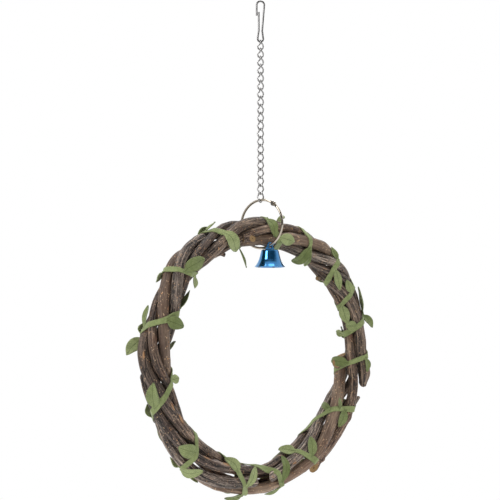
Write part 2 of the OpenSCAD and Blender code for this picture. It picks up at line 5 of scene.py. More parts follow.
import bpy
import numpy as np
from bpy.props import FloatProperty, FloatVectorProperty, IntProperty, PointerProperty
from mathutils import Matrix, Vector


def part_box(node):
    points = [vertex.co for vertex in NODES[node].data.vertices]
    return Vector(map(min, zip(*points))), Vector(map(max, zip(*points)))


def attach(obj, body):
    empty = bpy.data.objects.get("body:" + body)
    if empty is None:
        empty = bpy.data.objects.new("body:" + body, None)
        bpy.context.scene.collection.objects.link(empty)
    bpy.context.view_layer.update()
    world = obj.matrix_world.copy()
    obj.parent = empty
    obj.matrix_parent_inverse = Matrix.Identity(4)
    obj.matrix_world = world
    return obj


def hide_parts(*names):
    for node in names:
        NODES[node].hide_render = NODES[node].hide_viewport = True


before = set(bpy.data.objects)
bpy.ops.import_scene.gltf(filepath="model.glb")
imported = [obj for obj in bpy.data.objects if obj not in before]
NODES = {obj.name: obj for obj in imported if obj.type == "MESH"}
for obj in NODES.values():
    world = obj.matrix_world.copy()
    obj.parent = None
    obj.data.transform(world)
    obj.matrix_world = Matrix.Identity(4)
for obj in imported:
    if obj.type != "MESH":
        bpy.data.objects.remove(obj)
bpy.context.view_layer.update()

bl_info = {
    "name": "Bird Swing",
    "version": (1, 0, 0),
    "blender": (4, 5, 0),
    "location": "View3D > Sidebar > Bird Swing",
    "description": "Builds a vine ring bird swing with its garland, chain, hook and bell",
    "category": "Add Mesh",
}

MM = 0.001

# Middle of the ring of canes, in millimetres, and the side it is seen from
RING_X, RING_Z = 2.0, -308.723
VIEW_TURN = math.radians(-36.53)
VIEW = np.array([math.sin(VIEW_TURN), -math.cos(VIEW_TURN), 0.0])
CANES = ("cane_brown", "cane_thin", "cane_forked", "cane_dark", "cane_grey")


def rgb(red, green, blue):
    """A colour as it is read off a screen, 0 to 255, in the linear values that nodes take."""
    def linear(c):
        c /= 255
        return c / 12.92 if c <= 0.04045 else ((c + 0.055) / 1.055) ** 2.4
    return tuple(linear(c) for c in (red, green, blue))


def scaled(colour, share):
    """A colour made darker or lighter by a factor."""
    return tuple(c * share for c in colour)


# ---- node trees

def operation(kind, swapped=False):
    """A method of Value that adds a Math node of this kind."""
    def add_node(self, other):
        return self.bench.sum(kind, *((other, self) if swapped else (self, other)))
    return add_node


class Value:
    """A node's socket that takes part in sums; each operator adds its Math node."""
    __add__, __radd__ = operation("ADD"), operation("ADD", True)
    __sub__, __rsub__ = operation("SUBTRACT"), operation("SUBTRACT", True)
    __mul__, __rmul__ = operation("MULTIPLY"), operation("MULTIPLY", True)
    __truediv__, __rtruediv__ = operation("DIVIDE"), operation("DIVIDE", True)
    __pow__ = operation("POWER")

    def __init__(self, bench, socket):
        self.bench, self.socket = bench, socket

    def __abs__(self):
        return self.bench.sum("ABSOLUTE", self)


class Bench:
    """Fills one node tree."""

    def __init__(self, tree):
        self.tree = tree
        tree.nodes.clear()

    def node(self, kind, inputs=None, out=0, **settings):
        """Adds a node, sets it up, feeds its sockets and gives back one of its outputs."""
        made = self.tree.nodes.new(kind)
        for key, value in settings.items():
            setattr(made, key, value)
        for key, value in (inputs or {}).items():
            socket = made.inputs[key]
            if isinstance(value, Value):
                self.tree.links.new(value.socket, socket)
            elif socket.type == "RGBA":
                socket.default_value = (*value[:3], 1.0)
            else:
                socket.default_value = value
        return Value(self, made.outputs[out])

    def sum(self, kind, *values):
        return self.node("ShaderNodeMath", dict(enumerate(values)), operation=kind)

    def between(self, value, low, high, start=0.0, end=1.0):
        """0 below low and 1 above high, with a smooth step between them."""
        return self.node("ShaderNodeMapRange", {"Value": value, "From Min": low, "From Max": high, "To Min": start,
                                                "To Max": end}, interpolation_type="SMOOTHSTEP")

    def mix(self, share, first, second, how="MIX"):
        """Two colours mixed; first and second may be colours or sockets."""
        return self.node("ShaderNodeMix", {0: share, 6: first, 7: second}, 2, data_type="RGBA", blend_type=how)

    def layers(self, tone, *rows):
        """Lays colours over a tone: each row has a source, where it starts and is full, a share and a colour."""
        for source, low, high, share, colour in rows:
            tone = self.mix(self.between(source, low, high) * share, tone, colour)
        return tone

    def close(self, kind, value):
        """Ends the tree in its output node."""
        self.tree.links.new(value.socket, self.tree.nodes.new(kind).inputs[0])

    def split(self, vector):
        """The three parts of a vector."""
        parts = self.node("ShaderNodeSeparateXYZ", {0: vector}).socket.node
        return [Value(self, socket) for socket in parts.outputs]

    def stretch(self, vector, x, y, z):
        return self.node("ShaderNodeVectorMath", {0: vector, 1: (x, y, z)}, operation="MULTIPLY")

    def noise(self, vector, scale, detail=3.0, rough=0.55, warp=0.0):
        return self.node("ShaderNodeTexNoise", {
            "Vector": vector, "Scale": scale, "Detail": detail, "Roughness": rough, "Distortion": warp})

    def place(self):
        """Where a point lies on the object, in metres."""
        return self.node("ShaderNodeTexCoord", out=3)

    def attribute(self, name, out=2):
        """A point attribute as one value, or as a vector with out=1."""
        return self.node("ShaderNodeAttribute", out=out, attribute_name=name)


def new_material(name):
    """A material with an empty node tree, as a Bench."""
    material = bpy.data.materials.new(name)
    material.use_nodes = True
    return material, Bench(material.node_tree)


def finish_surface(bench, height, relief, inputs, strength=1.0):
    """The Principled surface at the end of a material, with a bump of this relief in metres."""
    bump = bench.node("ShaderNodeBump", {"Height": height, "Distance": relief, "Strength": strength})
    surface = bench.node("ShaderNodeBsdfPrincipled", {"Normal": bump, **inputs})
    bench.close("ShaderNodeOutputMaterial", surface)


def metal_material(name, colour, rough, streak=(1.0, 1.0, 1.0), wear=0.25, metallic=1.0, **more):
    """Drawn or plated wire: uneven gloss, faint drawing lines and a few dull patches."""
    material, b = new_material(name)
    place = b.place()
    cloud = b.noise(place, 260.0, 4.0, 0.6)
    lines = b.noise(b.stretch(place, *streak), 2600.0, 2.0, 0.5)
    spots = b.between(b.noise(place, 900.0, 3.0, 0.7), 0.58, 0.72)
    dull = b.between(cloud, 0.45, 0.75)
    tint = b.mix(dull * wear + spots * (wear * 0.3), colour, scaled(colour, 0.6))
    finish_surface(b, lines * 0.4 + cloud * 0.6, 0.000004, {
        "Base Color": tint, "Metallic": metallic, "Roughness": dull * 0.10 + spots * 0.05 + rough, **more})
    return material


def bark_material(name, dark, middle, pale, fibre, fleck, blush):
    """Weathered vine bark. fibre, fleck and blush set how strongly its long strands, its
    orange pores and its reddish patches show."""
    material, b = new_material(name)
    grain, relief, scar = b.attribute("grain", 1), b.attribute("relief"), b.attribute("scar")
    # noises drawn out along the cane, from its fine fibres to its broad patches
    fine = b.noise(b.stretch(grain, 1.25, 1.25, 0.085), 1.0, 5.0, 0.68)
    line = b.noise(b.stretch(grain, 0.62, 0.62, 0.042), 1.0, 3.0, 0.62, 0.25)
    streak = b.noise(b.stretch(grain, 0.30, 0.30, 0.020), 1.0, 3.0, 0.55)
    patch = b.noise(b.stretch(grain, 0.10, 0.10, 0.03), 1.0, 3.0, 0.55)
    grit = b.noise(b.stretch(grain, 1.0, 1.0, 0.4), 1.25, 4.0, 0.75)
    black = scaled(dark, 0.18)
    tone = b.layers(
        dark, (streak, 0.40, 0.60, 1.0, middle), (patch, 0.44, 0.66, 0.45, pale),
        (line, 0.52, 0.66, 0.75 * fibre, pale), (line, 0.47, 0.37, 0.80 * fibre, black),
        (fine, 0.54, 0.72, 0.80 * fibre, scaled(pale, 2.3)), (fine, 0.47, 0.34, 0.85 * fibre, black),
        # where the relief sinks, the bark's hollows are darkened towards black as painted shade; where it rises,
        # the strands are paler
        (relief, -0.05, -0.45, 0.85, black), (relief, 0.06, 0.30, 0.30, scaled(pale, 1.25)))
    # painted shade darkens the ring at its upper left as seen from the front, and painted light makes it paler at
    # its foot
    x, y, z = b.split(b.place())
    painted_shade_left = b.between(y * VIEW[0] - x * VIEW[1], -0.02, -0.075)
    high = b.between(z, -0.39, -0.34)
    tone = b.mix(painted_shade_left * high * 0.65, tone, (0.50, 0.44, 0.45), "MULTIPLY")
    tone = b.mix((1 - high) * 0.60, tone, (1.7, 1.68, 1.72), "MULTIPLY")
    tone = b.layers(tone, (b.noise(grain, 0.07, 3.0, 0.6), 0.52, 0.70, blush, rgb(122, 80, 54)),
                    (grit, 0.55, 0.66, 0.45 * fibre, scaled(pale, 1.6)), (grit, 0.45, 0.35, 0.50 * fibre, black))
    # pores: pale dots, gathered in places, some of them orange
    dots = b.node("ShaderNodeTexVoronoi", {"Vector": b.stretch(grain, 1, 1, 0.75), "Scale": 0.55}, feature="F1")
    where = b.noise(grain, 0.16, 2.0)
    pores = b.between(dots, 0.30, 0.19) * b.between(where, 0.44, 0.54)
    tone = b.mix(pores * fleck, tone, b.mix(b.between(where, 0.5, 0.7), rgb(222, 188, 150), rgb(214, 144, 76)))
    wound = b.mix(b.between(fine, 0.35, 0.65), rgb(132, 82, 50), rgb(190, 146, 100))
    tone = b.layers(tone, (scar + (line - 0.5) * 1.6, 0.42, 0.62, 0.8, wound))
    finish_surface(b, fine * 0.7 + line * 0.6 + grit * 0.3, 0.0006, {
        "Base Color": tone, "Roughness": b.between(fine, 0.3, 0.7, 0.78, 0.42), "Specular IOR Level": 0.5,
        "Sheen Weight": 0.08, "Sheen Roughness": 0.25})
    return material


def cut_wood_material():
    """The sawn ends of the canes: growth rings, rays and a dark pith."""
    material, b = new_material("cut_wood")
    grain = b.attribute("grain", 1)
    across, up, _ = b.split(grain)
    radius = (across * across + up * up) ** 0.5
    wander = b.noise(grain, 0.5, 3.0)
    rings = b.sum("SINE", (radius + wander * 1.4) * 7.0) * 0.5 + 0.5
    rays = b.noise(grain, 1.8, 4.0, 0.7)
    tone = b.layers(
        b.mix(rings * 0.55, rgb(172, 142, 100), rgb(124, 95, 60)), (rays, 0.45, 0.75, 0.6, rgb(122, 86, 56)),
        (radius, 0.9, 0.35, 0.8, rgb(74, 50, 36)), (wander, 0.55, 0.75, 0.6, rgb(110, 92, 76)))
    finish_surface(b, rings * 0.5 + rays, 0.0002, {
        "Base Color": tone, "Roughness": rays * 0.2 + 0.7, "Specular IOR Level": 0.3})
    return material


def felt_material(colour, pale, shade):
    """Pressed felt: a matt cloth of short fibres, with the pressed veins of each leaf."""
    material, b = new_material("felt_green")
    tint, leaf, place = b.attribute("tint"), b.attribute("leaf"), b.place()
    across, along, _ = b.split(b.attribute("blade", 1))
    side = abs(across)
    midrib = b.between(side, 0.34, 0.06)
    ladder = b.sum("FRACT", (along - side * 1.15) / 2.1 + tint)
    vein = b.between(abs(ladder - 0.5), 0.11, 0.03) * b.between(side, 0.2, 0.5)
    press = (midrib + vein * 0.75) * leaf
    fluff = b.noise(place, 2400.0, 4.0, 0.72)
    nap = b.noise(place, 620.0, 3.0, 0.6)
    cloud = b.noise(place, 120.0, 2.0)
    tone = b.layers(b.mix(tint, colour, pale), (nap, 0.35, 0.70, 0.30, shade),
                    (fluff, 0.48, 0.78, 0.35, scaled(pale, 1.25)), (cloud, 0.4, 0.7, 0.22, shade))
    finish_surface(b, fluff * 0.45 + nap * 0.5 - press * 0.9, 0.00022, {
        "Base Color": b.mix(press * 0.75, tone, shade), "Roughness": fluff * 0.1 + 0.86,
        "Specular IOR Level": 0.15, "Sheen Weight": 0.25, "Sheen Roughness": 0.5}, strength=0.9)
    return material


# ---- mesh helpers

def unit(v):
    v = np.asarray(v, float)
    return v / np.maximum(np.linalg.norm(v, axis=-1, keepdims=True), 1e-12)


def square_to(v, run):
    """The direction of v, less what of it lies along run."""
    return unit(v - (v * run).sum(-1, keepdims=True) * run)


def ease(t):
    t = np.clip(t, 0.0, 1.0)
    return t * t * (3 - 2 * t)


def sind(angle):
    return np.sin(np.radians(angle))


def cosd(angle):
    return np.cos(np.radians(angle))


def outward(a):
    """Direction out of the ring's middle at ring angle a, in degrees."""
    return np.stack([cosd(a), 0 * a, sind(a)], -1)


def onward(a):
    """Direction along the ring at ring angle a, in degrees."""
    return np.stack([-sind(a), 0 * a, cosd(a)], -1)


def lengths(line):
    """Length along a line of points up to each of them."""
    return np.concatenate([[0], np.cumsum(np.linalg.norm(np.diff(line, axis=0), axis=1))])


def quads(ids):
    """Faces between neighbours in a grid of point numbers."""
    return np.stack([ids[:-1, :-1], ids[1:, :-1], ids[1:, 1:], ids[:-1, 1:]], -1).reshape(-1, 4)


def new_object(name, data):
    made = bpy.data.objects.new(name, data)
    bpy.context.scene.collection.objects.link(made)
    return made


def make_piece(name, points, faces, materials, kinds=None, sharp=None, **marks):
    """A mesh object from points in millimetres, with its materials and its point attributes."""
    mesh = bpy.data.meshes.new(name)
    mesh.from_pydata((np.asarray(points) * MM).tolist(), [], faces)
    for material in materials:
        mesh.materials.append(material)
    mesh.polygons.foreach_set("use_smooth", np.ones(len(mesh.polygons), bool))
    if kinds is not None:
        mesh.polygons.foreach_set("material_index", np.asarray(kinds, np.int32))
    for key, values in marks.items():
        kind, field = ("FLOAT_VECTOR", "vector") if values.ndim == 2 else ("FLOAT", "value")
        data = mesh.attributes.new(key, kind, "POINT").data
        data.foreach_set(field, np.asarray(values, np.float32).ravel())
    if sharp is not None:
        ends = np.empty(len(mesh.edges) * 2, np.int32)
        mesh.edges.foreach_get("vertices", ends)
        both = sharp[ends.reshape(-1, 2)].all(axis=1)
        mesh.attributes.new("sharp_edge", "BOOLEAN", "EDGE").data.foreach_set("value", both)
    mesh.update()
    return new_object(name, mesh)


def spline(x, y, at):
    """A smooth curve through the values y at x (natural cubic), read at `at`."""
    x, y = np.asarray(x, float), np.asarray(y, float)
    n, h = len(x), np.diff(x)
    a, r = np.zeros((n, n)), np.zeros((n,) + y.shape[1:])
    a[0, 0] = a[-1, -1] = 1
    for i in range(1, n - 1):
        a[i, i - 1:i + 2] = h[i - 1], 2 * (h[i - 1] + h[i]), h[i]
        r[i] = 6 * ((y[i + 1] - y[i]) / h[i] - (y[i] - y[i - 1]) / h[i - 1])
    m = np.linalg.solve(a, r)
    i = np.clip(np.searchsorted(x, at) - 1, 0, n - 2)
    shape = (-1,) + (1,) * (y.ndim - 1)
    hi, t = h[i].reshape(shape), (at - x[i]).reshape(shape)
    return (y[i] + t * ((y[i + 1] - y[i]) / hi - hi * (2 * m[i] + m[i + 1]) / 6)
            + t ** 2 * m[i] / 2 + t ** 3 * (m[i + 1] - m[i]) / (6 * hi))


def lattice(turn, along, cells, step, seed):
    """Smooth noise on a cane: turn goes round it and closes, along is in millimetres."""
    rng = np.random.default_rng(seed)
    table = rng.random((int(np.max(along) / step) + 4, cells))
    x, y = (turn % 1.0) * cells, np.maximum(along, 0) / step
    i, j = np.floor(x).astype(int), np.floor(y).astype(int)
    fx, fy = ease(x - i), ease(y - j)
    i, k = i % cells, (i + 1) % cells
    low = table[j, i] * (1 - fx) + table[j, k] * fx
    high = table[j + 1, i] * (1 - fx) + table[j + 1, k] * fx
    return low * (1 - fy) + high * fy


# ---- the bundle of canes

def cane_route(name):
    """Angles about the ring, middles and radii of a cane, read from its solid in the frame."""
    mesh = NODES[name].data
    points = np.empty(len(mesh.vertices) * 3)
    mesh.vertices.foreach_get("co", points)
    points = points.reshape(-1, 3) / MM
    angle = np.degrees(np.arctan2(points[:, 2] - RING_Z, points[:, 0] - RING_X)) % 360
    # points of one ring of the solid lie at nearly the same angle, counted in 20ths of a degree
    key = np.round(angle * 20).astype(int)
    keys = np.unique(key)
    groups = np.split(keys, np.where(np.diff(keys) > 2)[0] + 1)
    if len(groups) > 1 and keys[0] + 7200 - keys[-1] <= 2:
        groups[0] = np.append(groups.pop(), groups[0])
    rings = [np.unique(np.round(points[np.isin(key, group)], 4), axis=0) for group in groups]
    middles = np.array([ring.mean(axis=0) for ring in rings])
    radii = np.array([np.linalg.norm(ring - middle, axis=1).mean() for ring, middle in zip(rings, middles)])
    turns = np.array([np.degrees(math.atan2(z - RING_Z, x - RING_X)) % 360 for x, _, z in middles])
    # the route starts behind the widest gap between its rings
    order = np.argsort(turns)
    widest = int(np.argmax(np.diff(np.append(turns[order], turns[order[0]] + 360))))
    order = np.roll(order, -widest - 1)
    return np.degrees(np.unwrap(np.radians(turns[order]))), middles[order], radii[order]


ROUTES = {name: cane_route(name) for name in CANES}


def swell(route, turns, more, inward):
    """Thickens a cane and moves it towards the ring's middle, by the table's millimetres."""
    at, middles, radii = route
    inward = np.interp(at, turns, inward)[:, None]
    return at, middles - outward(at) * inward, radii + np.interp(at, turns, more)


ROUTES["cane_brown"] = swell(ROUTES["cane_brown"], (280, 300, 322, 345, 359), (0, 0.5, 0.8, 0.9, 0.8),
                             (0, 0.8, 2.2, 2.6, 1.8))


# Degrees between the skin's points round the bundle, and how many there are
SKIN_STEP, SKIN_COUNT = 5, 72


class Bundle:
    """The taut skin round all the canes, on which the garland lies."""

    def __init__(self):
        at = np.arange(360.0)
        rows = np.full((len(ROUTES), 360, 3), np.nan)
        for row, (turns, middles, radii) in zip(rows, ROUTES.values()):
            out = np.hypot(middles[:, 0] - RING_X, middles[:, 2] - RING_Z)
            for a in (at, at + 360):
                on = (turns[0] - 0.5 <= a) & (a <= turns[-1] + 0.5)
                row[on] = np.stack([np.interp(a[on], turns, v) for v in (out, middles[:, 1], radii)], -1)
        self.middle = self.soften(np.nanmean(rows[:, :, :2], axis=0), 5)
        ways = np.arange(0.0, 360, SKIN_STEP)
        gap = rows[:, :, None, :2] - self.middle[:, None]
        reach = np.nanmax(gap[..., 0] * cosd(ways) + gap[..., 1] * sind(ways) + rows[:, :, None, 2], axis=0)
        lean = cosd(ways[:, None] - ways)
        skin = np.where(lean > 0.15, reach[:, None] / np.maximum(lean, 0.15), 1e9).min(-1)
        self.skin = self.soften(skin, 1.5)

    @staticmethod
    def soften(values, width):
        """Evens out values that go once round the ring."""
        reach = np.arange(-int(4 * width), int(4 * width) + 1)
        weight = np.exp(-0.5 * (reach / width) ** 2)
        return sum(np.roll(values, -k, 0) * w for k, w in zip(reach, weight)) / weight.sum()

    def read(self, a, t):
        """Middle of the bundle and the skin's distance from it, at ring angle a and turn t."""
        a, t = np.asarray(a, float) % 360, np.asarray(t, float) % 360 / SKIN_STEP
        i, j = np.floor(a).astype(int) % 360, np.floor(t).astype(int) % SKIN_COUNT
        fa, ft = a % 1, t % 1
        k, l = (i + 1) % 360, (j + 1) % SKIN_COUNT
        middle = self.middle[i] * (1 - fa)[..., None] + self.middle[k] * fa[..., None]
        skin = ((self.skin[i, j] * (1 - ft) + self.skin[i, l] * ft) * (1 - fa)
                + (self.skin[k, j] * (1 - ft) + self.skin[k, l] * ft) * fa)
        return middle, skin

    def point(self, a, t, lift):
        """A point at ring angle a, turn t (0 outwards, 270 to the front), lifted off the skin."""
        middle, skin = self.read(a, t)
        reach = skin + lift
        out = middle[..., 0] + reach * cosd(t)
        return np.stack([RING_X + out * cosd(a), middle[..., 1] + reach * sind(t), RING_Z + out * sind(a)], -1)

    def away(self, points):
        """Direction straight out of the bundle at each point, with its angle and turn."""
        a = np.degrees(np.arctan2(points[..., 2] - RING_Z, points[..., 0] - RING_X))
        out = np.hypot(points[..., 0] - RING_X, points[..., 2] - RING_Z)
        middle, _ = self.read(a, 0)
        u, v = out - middle[..., 0], points[..., 1] - middle[..., 1]
        t = np.degrees(np.arctan2(v, u))
        return np.stack([cosd(t) * cosd(a), sind(t), cosd(t) * sind(a)], -1), a, t, np.hypot(u, v)

    def keep_out(self, points, room):
        """Moves points that lie in the bundle out to its skin plus some room."""
        way, a, t, reach = self.away(points)
        _, skin = self.read(a, t)
        return points + way * np.maximum(skin + room - reach, 0.0)[..., None]


BUNDLE = Bundle()


# ---- canes

# Cut ends: slant and side of the butt, then of the tip, in degrees
END_CUTS = {
    "cane_brown": (18, 200, 36, 170), "cane_thin": (38, 100, 34, 300), "cane_forked": (34, 290, 46, 240),
    "cane_dark": (25, 270, 12, 20), "cane_grey": (50, 270, 20, 250),
}
# Side twigs cut short: cane, ring angle, side, lean along the cane, length and radius in mm, slant of the cut
STUBS = [
    ("cane_thin", 305.0, 350, 186, 10.5, 3.6, 48), ("cane_brown", 351.5, 190, 40, 2.6, 3.9, 36),
    ("cane_dark", 249.0, 175, 30, 5.5, 1.9, 20), ("cane_thin", 118.0, 190, 150, 4.5, 1.7, 20),
    ("cane_forked", 44.0, 170, 40, 4.0, 1.9, 20), ("cane_grey", 205.0, 80, 40, 5.0, 1.8, 20),
    ("cane_dark", 20.0, 95, 150, 5.0, 1.7, 20), ("cane_thin", 104.0, 235, 165, 6.5, 3.2, 48),
]
# Points round a cane and a twig, rings along a twig, degrees between a cane's rings
CANE_SIDES, TWIG_SIDES, TWIG_RINGS, CANE_STEP = 96, 40, 26, 0.5
# Share of a cane's radius that its strands stand on; lengths in mm along which a cut's slant fades out
# and its rim is worn round; places of the knots
CORE, SLANT_FADE, RIM_WEAR, KNOT_PLACES = 0.965, 11.0, 0.9, range(30, 640, 62)
# Rings that a cut face is made of, as shares of its radius, and the kinds of face: bark or cut wood
CUT_RINGS = (0.86, 0.66, 0.46, 0.26, 0.1)
BARK, CUT = 0, 1
# Scars in the bark: ring angle, turn about the bundle, length and width in mm
SCARS = [
    (19, 290, 6, 3), (98, 225, 5, 1.0), (201, 268, 8, 1.6), (232, 250, 7, 2.5), (244, 230, 8, 2.2),
    (44, 215, 5, 2.4), (178, 350, 7, 1.0), (158, 285, 5, 1.2), (208, 255, 9, 1.4),
    (30, 100, 6, 2.5), (70, 80, 5, 2), (120, 95, 7, 2), (165, 75, 6, 2), (215, 100, 8, 2), (262, 85, 5, 2),
    (310, 95, 7, 2.5), (345, 70, 6, 2), (270, 285, 6, 1.2), (332, 262, 5, 1.2), (285, 250, 5, 1.0),
]
# Waves of a cane's surface, from its lumps to its cracks: how many go round it, and their length in mm
BARK_WAVES = ((4, 22), (9, 34), (15, 24), (27, 13), (44, 7), (7, 60), (5, 30))


def stick(route, radii, ways, sides, seed, depth, slants, knots=()):
    """A round stick of wood along a route: bark relief, knots and two slanted cut ends. Gives its
    points and faces, the kind of each face, and grain, relief and sharpness of each point."""
    run = unit(np.gradient(route, axis=0))
    out = square_to(ways, run)
    side = np.cross(out, run)
    along = lengths(route)
    s, u = np.meshgrid(along, np.linspace(0, 1, sides, endpoint=False), indexing="ij")
    drift = u + s * 0.0011 + (lattice(u, s, 4, 45, seed) - 0.5) * 0.10
    lumps, waves, strands, fibres, threads, cracks, open_cracks = (
        lattice(drift if k > 1 else u, s, *wave, seed + k) - 0.5 for k, wave in enumerate(BARK_WAVES, 1))
    crack = np.exp(-(cracks / 0.03) ** 2) * ease((open_cracks + 0.05) * 4)
    thick = radii[:, None]
    fine = depth * (0.16 * (0.4 - np.abs(2 * strands)) + 0.34 * fibres + 0.36 * threads - 0.60 * crack)
    girth = thick * (1 + 0.025 * np.cos(2 * np.pi * 2 * (u + s * 0.0016) + seed)) \
        + thick * 0.05 * lumps + depth * 0.22 * waves + fine
    for place, height, width in knots:
        girth = girth + thick * height * np.exp(-((s - place) / width) ** 2) \
            * (1 + 0.6 * np.cos(2 * np.pi * (u - place * 0.37)))
    girth = girth - 0.35 * (1 - ease(np.minimum(s, along[-1] - s) / RIM_WEAR))
    angle = 2 * np.pi * u
    c, d = np.cos(angle), np.sin(angle)
    points = route[:, None] + out[:, None] * (c * girth)[..., None] + side[:, None] * (d * girth)[..., None]
    # each end is cut at a slant, which fades out along the last millimetres
    for slant, face, rim, way in ((*slants[:2], s, 1), (*slants[2:], along[-1] - s, -1)):
        pull = np.tan(np.radians(slant)) * girth * np.cos(angle - np.radians(face))
        points = points + run[:, None] * (way * pull * (1 - ease(rim / SLANT_FADE)))[..., None]
    grain = np.stack([c * thick, d * thick, s], -1)
    points, grain, count = points.reshape(-1, 3), grain.reshape(-1, 3), s.size
    ids = np.arange(count).reshape(-1, sides)
    faces = np.roll(quads(np.hstack([ids, ids[:, :1]])), -1, 1).tolist()
    rng = np.random.default_rng(seed + 20)
    for rim, way, order in ((ids[0], run[0], 1), (ids[-1], run[-1], -1)):
        middle, last = points[rim].mean(axis=0), rim
        for share in CUT_RINGS:
            new = middle + (points[rim] - middle) * share + way * rng.normal(0, 0.05, (sides, 1))
            inner = np.arange(len(points), len(points) + sides)
            ring = np.stack([last, np.roll(last, -1), np.roll(inner, -1), inner], -1)
            faces += ring[:, ::order].tolist()
            points, grain = np.vstack([points, new]), np.vstack([grain, grain[rim] * (share, share, 1)])
            last = inner
        fan = np.stack([last, np.roll(last, -1), np.full(sides, len(points))], -1)
        faces += fan[:, ::order].tolist()
        points, grain = np.vstack([points, middle]), np.vstack([grain, grain[rim].mean(axis=0) * (0, 0, 1)])
    bark = count - sides
    relief = np.concatenate([fine.ravel(), np.zeros(len(points) - count)])
    return (points, faces, [BARK] * bark + [CUT] * (len(faces) - bark), grain, relief,
            np.isin(np.arange(len(points)), ids[[0, -1]]))


def build_stub(row, seed, at, route, girth, depth):
    """A side twig from its row in STUBS, on the cane with this route; its cut looks to the front."""
    _, a, side, lean, length, thick, slant = row
    b = a if at[0] <= a <= at[-1] else a + 360
    root = np.array([np.interp(b, at, route[:, j]) for j in range(3)])
    out = cosd(side) * outward(a) + sind(side) * np.array([0, 1, 0])
    way = unit(abs(sind(lean)) * out + cosd(lean) * onward(a))
    reach = np.interp(b, at, girth)
    steps = np.linspace(0, 1, TWIG_RINGS)
    bent, ahead = reach * 0.35 + 1.2 * steps ** 2, steps * (length + reach * 0.6)
    path = root + out * bent[:, None] + way * ahead[:, None]
    radii = thick * (1.25 - 0.25 * ease(steps * 2)) * (1 + 0.06 * np.sin(steps * 9))
    across = unit(np.cross(way, out + 0.01))
    face = math.degrees(math.atan2(VIEW @ np.cross(across, way), VIEW @ across))
    return stick(path, radii, np.tile(across, (TWIG_RINGS, 1)), TWIG_SIDES, seed, depth * 0.6, (0, 0, slant, face))


def build_cane(name, depth, materials):
    """One cane on its route, with the twigs cut short on it."""
    index = CANES.index(name)
    turns, middles, radii = ROUTES[name]
    at = np.linspace(turns[0], turns[-1], int((turns[-1] - turns[0]) / CANE_STEP))
    route, girth = spline(turns, middles, at), spline(turns, radii, at)
    rng = np.random.default_rng(40 + index)
    knots = [(p + rng.uniform(-18, 18), rng.uniform(0.05, 0.13), rng.uniform(3.0, 6.0)) for p in KNOT_PLACES]
    if name == "cane_forked":
        knots += [(0, -0.34, 7.0), (9, 0.10, 4.0)]
    parts = [stick(route, girth * CORE, outward(at), CANE_SIDES, 100 * index + 7, depth, END_CUTS[name], knots)]
    parts += [build_stub(row, 900 + 10 * k, at, route, girth, depth)
              for k, row in enumerate(STUBS) if row[0] == name]
    starts = np.cumsum([0] + [len(part[0]) for part in parts]).tolist()
    faces = [[i + start for i in face] for start, part in zip(starts, parts) for face in part[1]]
    points, kinds, grain, relief, sharp = (np.concatenate([part[k] for part in parts]) for k in (0, 2, 3, 4, 5))
    scar = np.zeros(len(points))
    for a, t, length, width in SCARS:
        gap = points - BUNDLE.point(a, t, -0.6)
        run = gap @ onward(a)
        rest = np.linalg.norm(gap - run[:, None] * onward(a), axis=1)
        scar = np.maximum(scar, np.exp(-(run / length * 1.6) ** 2 - (rest / width / 1.1) ** 2))
    return make_piece("bark_" + name, points, faces, materials, kinds, sharp, scar=scar, grain=grain,
                      relief=relief)


# ---- garland

# Places that the ribbon passes: ring angle, and turn about the canes (270 to the front, 360 more each round)
RIBBON = [
    (-14.2, 60), (-10.7, 155), (-5.6, 207), (0.3, 320), (8.9, 500), (12.9, 585), (15.6, 636), (27.2, 916),
    (30, 954), (31.2, 997), (40.2, 1230), (47.3, 1347), (47.8, 1400), (57.9, 1605), (65.6, 1704), (69.5, 1765),
    (84.4, 2054), (87.3, 2084), (88.3, 2139), (104.8, 2345), (114.3, 2463), (118.6, 2530), (136.6, 2725),
    (141.7, 2820), (144, 2900), (156.8, 3099), (163.2, 3162), (168.3, 3265), (187.8, 3455), (191.1, 3479),
    (200.5, 3587), (219, 3815), (225.8, 3863), (227.9, 3959), (248.8, 4184), (254, 4232), (260, 4312),
    (260.5, 4509), (272.4, 4555), (277, 4635), (289.6, 4898), (294.4, 4945), (297.5, 4985), (304.9, 5192),
    (324.1, 5253), (332.8, 5350), (338.3, 5490),
]
